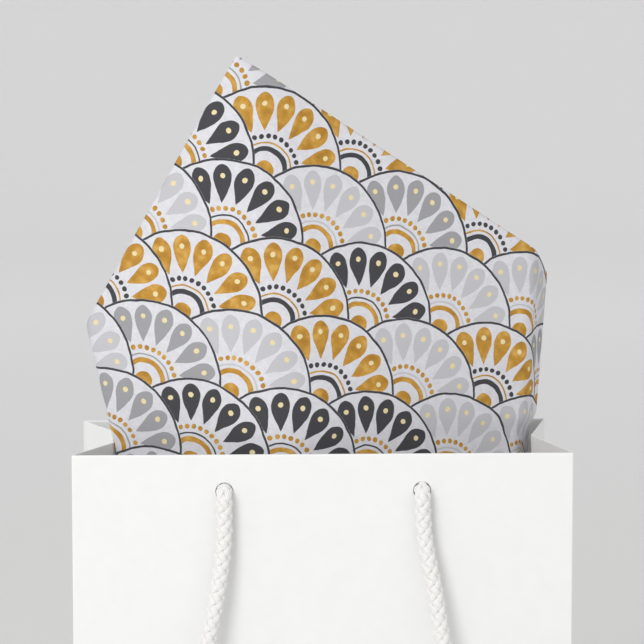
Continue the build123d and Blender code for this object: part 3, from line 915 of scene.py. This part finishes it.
def fan_leaves(tree, angle, distance):
    """Mask of slender leaves that stand side by side between two rings."""
    cells = add(tree, MATH, [angle, 2 * math.pi / LEAVES_PER_TURN], operation="DIVIDE")
    whole_cells = add(tree, MATH, [cells], operation="FLOOR")
    middle = add(tree, MATH, [whole_cells, 0.5], operation="ADD")
    aside = add(tree, MATH, [cells, middle], operation="SUBTRACT")
    off_middle = add(tree, MATH, [aside], operation="ABSOLUTE")
    past_start = add(tree, MATH, [distance, LEAF_START], operation="SUBTRACT")
    share = add(tree, MATH, [past_start, LEAF_END - LEAF_START], operation="DIVIDE")
    # A leaf's width follows half a wave, drawn outwards by one power and made fuller by another
    pushed = add(tree, MATH, [share, LEAF_PUSH], operation="POWER")
    phase = add(tree, MATH, [pushed, math.pi], operation="MULTIPLY")
    wave = add(tree, MATH, [phase], operation="SINE")
    bulge = add(tree, MATH, [wave, 0.0], operation="MAXIMUM")
    full = add(tree, MATH, [bulge, LEAF_FULLNESS], operation="POWER")
    half_width = add(tree, MATH, [full, LEAF_HALF_WIDTH], operation="MULTIPLY")
    begun = add(tree, MATH, [share, 0.0], operation="GREATER_THAN")
    not_ended = add(tree, MATH, [share, 1.0], operation="LESS_THAN")
    between = add(tree, MATH, [begun, not_ended], operation="MULTIPLY")
    within = add(tree, MATH, [off_middle, half_width], operation="LESS_THAN")
    return add(tree, MATH, [within, between], operation="MULTIPLY")


def ring_line(tree, distance, ring, width):
    """Mask of a thin ring."""
    off_ring = add(tree, MATH, [distance, ring], operation="SUBTRACT")
    gap = add(tree, MATH, [off_ring], operation="ABSOLUTE")
    return add(tree, MATH, [gap, width / 2], operation="LESS_THAN")


def printed_tissue():
    """Tissue printed with rows of overlapping fans, a traditional scale pattern, in mottled gold, greys and
    charcoal. The inks are matt and let the fibres show."""
    material, tree, shader, sized, finish = tissue_paper("fan_printed_tissue")
    axes = add(tree, "ShaderNodeSeparateXYZ", {"Vector": sized}).outputs
    # Hand-cut blocks print a line that wavers by about 0.4 mm
    waver = add(tree, "ShaderNodeTexNoise", {"Vector": sized, "Scale": 1 / 9.0, "Detail": 2.0})
    ways = add(tree, "ShaderNodeSeparateColor", {"Color": waver.outputs["Color"]}).outputs
    aside = add(tree, MATH, [ways[0], INK_WAVER], operation="MULTIPLY")
    raised = add(tree, MATH, [ways[1], INK_WAVER], operation="MULTIPLY")
    x = add(tree, MATH, [axes["X"], aside], operation="ADD")
    y = add(tree, MATH, [axes["Y"], raised], operation="ADD")
    # A fan covers those of the rows further on. Inputs 4 and 5 and output 1 of a mix are its vectors
    chosen, _ = fan_row(tree, x, y, 1.0)
    for rows_on in (0.0, -1.0):
        nearer, reaches = fan_row(tree, x, y, rows_on)
        chosen = add(tree, MIX, {"Factor": reaches, 4: chosen, 5: nearer}, data_type="VECTOR").outputs[1]
    fan = add(tree, "ShaderNodeSeparateXYZ", {"Vector": chosen}).outputs
    angle = add(tree, MATH, [fan["X"], fan["Y"]], operation="ARCTAN2")
    across_squared = add(tree, MATH, [fan["X"], 2.0], operation="POWER")
    up_squared = add(tree, MATH, [fan["Y"], 2.0], operation="POWER")
    squared = add(tree, MATH, [across_squared, up_squared], operation="ADD")
    length = add(tree, MATH, [squared], operation="SQRT")
    distance = add(tree, MATH, [length, FAN_RADIUS], operation="DIVIDE")
    pick = add(tree, "ShaderNodeTexWhiteNoise", {"W": fan["Z"]}, noise_dimensions="1D").outputs["Value"]
    mottle = add(tree, "ShaderNodeTexNoise", {"Vector": sized, "Scale": 1 / 5.0, "Detail": 5.0})
    gold = set_stops(
        add(tree, "ShaderNodeValToRGB", {"Fac": mottle}),
        [(0.32, colour("#A8771F")), (0.5, colour("#BC8B2E")), (0.68, colour("#D3A552"))],
    )
    greys = [(0.0, colour("#9C9C9F")), (0.56, colour("#C0C0C4")), (0.8, colour("#3D3D41"))]
    grey = set_stops(add(tree, "ShaderNodeValToRGB", {"Fac": pick}), greys, "CONSTANT")
    is_gold = add(tree, MATH, [pick, GOLD_SHARE], operation="LESS_THAN")
    charcoal = add(tree, "ShaderNodeRGB")
    charcoal.outputs["Color"].default_value = colour("#3B3B3F")
    cream = add(tree, "ShaderNodeRGB")
    cream.outputs["Color"].default_value = colour("#E6D6A6")
    # Inputs 6 and 7 and output 2 of a mix are its colours
    leaf_ink = add(tree, MIX, {"Factor": is_gold, 6: grey, 7: gold}, data_type="RGBA").outputs[2]
    bead_ink = add(tree, MIX, {"Factor": is_gold, 6: gold, 7: charcoal}, data_type="RGBA").outputs[2]
    # Half a cell on, so that an eye stands on the middle line of each leaf
    turned = add(tree, MATH, [angle, math.pi / LEAVES_PER_TURN], operation="ADD")
    layers = [
        (leaf_ink, fan_leaves(tree, angle, distance)),
        (cream, round_dots(tree, turned, distance, EYE_RING, LEAVES_PER_TURN, EYE_RADIUS)),
        (bead_ink, round_dots(tree, angle, distance, BEAD_RING, BEADS_PER_TURN, BEAD_RADIUS)),
        (leaf_ink, ring_line(tree, distance, THIN_RING, THIN_WIDTH)),
        (bead_ink, ring_line(tree, distance, BROAD_RING, BROAD_WIDTH)),
        (gold, add(tree, MATH, [distance, HEART_RADIUS], operation="LESS_THAN")),
        (charcoal, ring_line(tree, distance, RIM_RING, RIM_WIDTH)),
    ]
    for ink, mask in layers:
        finish = add(tree, MIX, {"Factor": mask, 6: finish, 7: ink}, data_type="RGBA").outputs[2]
    give(tree, shader, {"Base Color": finish})
    return material


make_sheet(printed_tissue(), tissue_paper("bare_tissue")[0])

# ---- Stage -----------------------------------------------------------------------------------


def studio_sweep():
    """Matt painted plaster floor that curves up into a wall all round."""
    profile = [(STAGE_MIDDLE, 0.0), (FLOOR_RADIUS, 0.0)]
    for step in range(1, WALL_STEPS + 1):
        turn = math.pi / 2 * step / WALL_STEPS
        profile.append((FLOOR_RADIUS + WALL_BEND * math.sin(turn), WALL_BEND - WALL_BEND * math.cos(turn)))
    profile.append((FLOOR_RADIUS + WALL_BEND, WALL_TOP))
    vertices = [(0.0, 0.0, 0.0)]
    for radius, height in profile:
        for i in range(STAGE_SIDES):
            turn = 2 * math.pi * i / STAGE_SIDES
            vertices.append((radius * math.cos(turn), radius * math.sin(turn), height))
    faces = [(0, 1 + i, 1 + (i + 1) % STAGE_SIDES) for i in range(STAGE_SIDES)]
    for ring in range(len(profile) - 1):
        low, high = 1 + ring * STAGE_SIDES, 1 + (ring + 1) * STAGE_SIDES
        for i in range(STAGE_SIDES):
            k = (i + 1) % STAGE_SIDES
            faces.append((low + i, high + i, high + k, low + k))
    sweep = mesh_piece("studio_floor", vertices, faces)
    material, tree, shader = new_material("matt_studio_paint")
    place = add(tree, "ShaderNodeTexCoord").outputs["Object"]
    # Painted shade: the floor is coloured a little darker in the middle of the stage and lighter out
    # towards the wall
    way_out = add(tree, "ShaderNodeVectorMath", [place], operation="LENGTH").outputs["Value"]
    share = add(tree, MATH, [way_out, FLOOR_RADIUS], operation="DIVIDE")
    tint = set_stops(
        add(tree, "ShaderNodeValToRGB", {"Fac": share}),
        [(0.15, colour("#E4E3E1")), (0.7, colour("#F6F5F5"))],
    )
    give(tree, shader, {"Base Color": tint, "Roughness": 0.9})
    sweep.data.materials.append(material)


def soft_lamp(name, place, size, power):
    """Square soft box that points at the bag."""
    lamp = bpy.data.lights.new(name, "AREA")
    lamp.shape = "SQUARE"
    lamp.size = size
    lamp.energy = power
    holder = bpy.data.objects.new(name, lamp)
    holder.location = place
    holder.rotation_euler = (LAMP_AIM - Vector(place)).to_track_quat("-Z", "Y").to_euler()
    bpy.context.scene.collection.objects.link(holder)


def studio_light():
    """Two soft boxes in a pale room."""
    for name, place, size, power in LAMPS:
        soft_lamp(name, place, size, power)
    world = bpy.data.worlds.new("studio")
    world.use_nodes = True
    background = world.node_tree.nodes["Background"]
    background.inputs["Color"].default_value = ROOM_COLOUR
    background.inputs["Strength"].default_value = ROOM_STRENGTH
    bpy.context.scene.world = world


studio_sweep()
studio_light()

# ---- Finish ----------------------------------------------------------------------------------

bpy.context.scene.view_settings.view_transform = "Standard"
